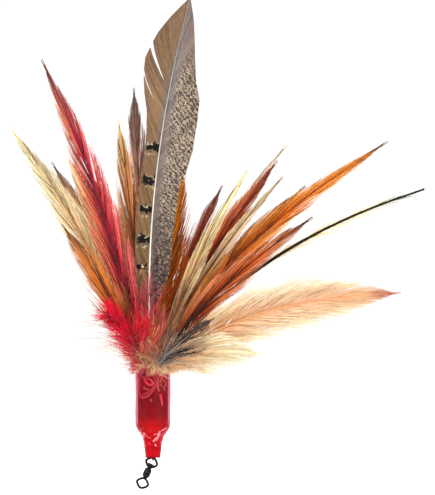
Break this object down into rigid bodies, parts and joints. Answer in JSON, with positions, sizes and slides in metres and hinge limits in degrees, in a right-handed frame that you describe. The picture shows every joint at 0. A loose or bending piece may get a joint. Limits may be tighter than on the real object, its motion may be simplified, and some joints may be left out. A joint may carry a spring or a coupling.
{
  "type": "feather lure refill",
  "caption": "Bundle of natural and dyed feathers held in a shouldered red shrink sleeve, with a barrel swivel hung in its neck.",
  "frame": {"origin": "on the sleeve's axis, halfway along its straight grip", "axes": "+Z from the swivel towards the feathers along the sleeve's axis, +X across the widest spread of the fan, -Y towards its front"},
  "size_m": [0.1428, 0.0936, 0.1701],
  "materials": {
    "amber_hackle_barbs": "feather barbs",
    "staple_wire": "drawn wire",
    "auburn_hackle_barbs": "feather barbs",
    "back_brown_barbs": "feather barbs",
    "back_ginger_barbs": "feather barbs",
    "back_rust_barbs": "feather barbs",
    "back_tan_barbs": "feather barbs",
    "black_quill_barbs": "feather barbs",
    "cream_hackle_barbs": "feather barbs",
    "cream_plume_barbs": "feather barbs",
    "fawn_hackle_barbs": "feather barbs",
    "hot_melt": "satin",
    "gold_fluff_barbs": "feather barbs",
    "long_orange_hackle_barbs": "feather barbs",
    "maroon_hackle_barbs": "feather barbs",
    "mauve_feather_barbs": "feather barbs",
    "orange_hackle_barbs": "feather barbs",
    "pale_hackle_barbs": "feather barbs",
    "peach_plume_barbs": "feather barbs",
    "pheasant_feather_barbs": "feather barbs",
    "red_hackle_barbs": "feather barbs",
    "red_marabou_barbs": "feather barbs",
    "rust_hackle_barbs": "feather barbs",
    "rust_spear_barbs": "feather barbs",
    "slate_feather_barbs": "feather barbs",
    "shrink_sleeve": "translucent, glossy",
    "straw_hackle_barbs": "feather barbs",
    "swivel_body": "black nickel plate",
    "swivel_wire": "black nickel",
    "tan_hackle_barbs": "feather barbs",
    "tan_spear_barbs": "feather barbs",
    "binding_thread": "waxed",
    "umber_hackle_barbs": "feather barbs"
  },
  "bodies": {
    "head": {"sleeve": "shrink_sleeve", "glue_plug": "hot_melt", "thread_binding": "binding_thread", "anchor_staple": "staple_wire", "amber_hackle": "amber_hackle_barbs", "auburn_hackle": "auburn_hackle_barbs", "back_brown": "back_brown_barbs", "back_ginger": "back_ginger_barbs", "back_rust": "back_rust_barbs", "back_tan": "back_tan_barbs", "black_quill": "black_quill_barbs", "cream_hackle": "cream_hackle_barbs", "cream_plume": "cream_plume_barbs", "fawn_hackle": "fawn_hackle_barbs", "gold_fluff": "gold_fluff_barbs", "long_orange_hackle": "long_orange_hackle_barbs", "maroon_hackle": "maroon_hackle_barbs", "mauve_feather": "mauve_feather_barbs", "orange_hackle": "orange_hackle_barbs", "pale_hackle": "pale_hackle_barbs", "peach_plume": "peach_plume_barbs", "pheasant_feather": "pheasant_feather_barbs", "red_hackle": "red_hackle_barbs", "red_marabou": "red_marabou_barbs", "rust_hackle": "rust_hackle_barbs", "rust_spear": "rust_spear_barbs", "slate_feather": "slate_feather_barbs", "straw_hackle": "straw_hackle_barbs", "tan_hackle": "tan_hackle_barbs", "tan_spear": "tan_spear_barbs", "umber_hackle": "umber_hackle_barbs"},
    "upper_eye": {"swivel_upper_eye": "swivel_wire"},
    "barrel": {"swivel_barrel": "swivel_body"},
    "lower_eye": {"swivel_lower_eye": "swivel_wire"}
  },
  "joints": [
    {"name": "swivel_swing", "type": "hinge", "parent": "head", "child": "upper_eye", "pos_m": [0, 0, -0.02085], "axis": [0, 1, 0], "range_deg": [-51, 3]},
    {"name": "barrel_spin", "type": "hinge", "parent": "upper_eye", "child": "barrel", "pos_m": [-0.00203, 0, -0.02542], "axis": [0.4067, 0, 0.9135], "continuous": true},
    {"name": "eye_spin", "type": "hinge", "parent": "barrel", "child": "lower_eye", "pos_m": [-0.0036, 0, -0.02893], "axis": [0.4067, 0, 0.9135], "continuous": true}
  ]
}
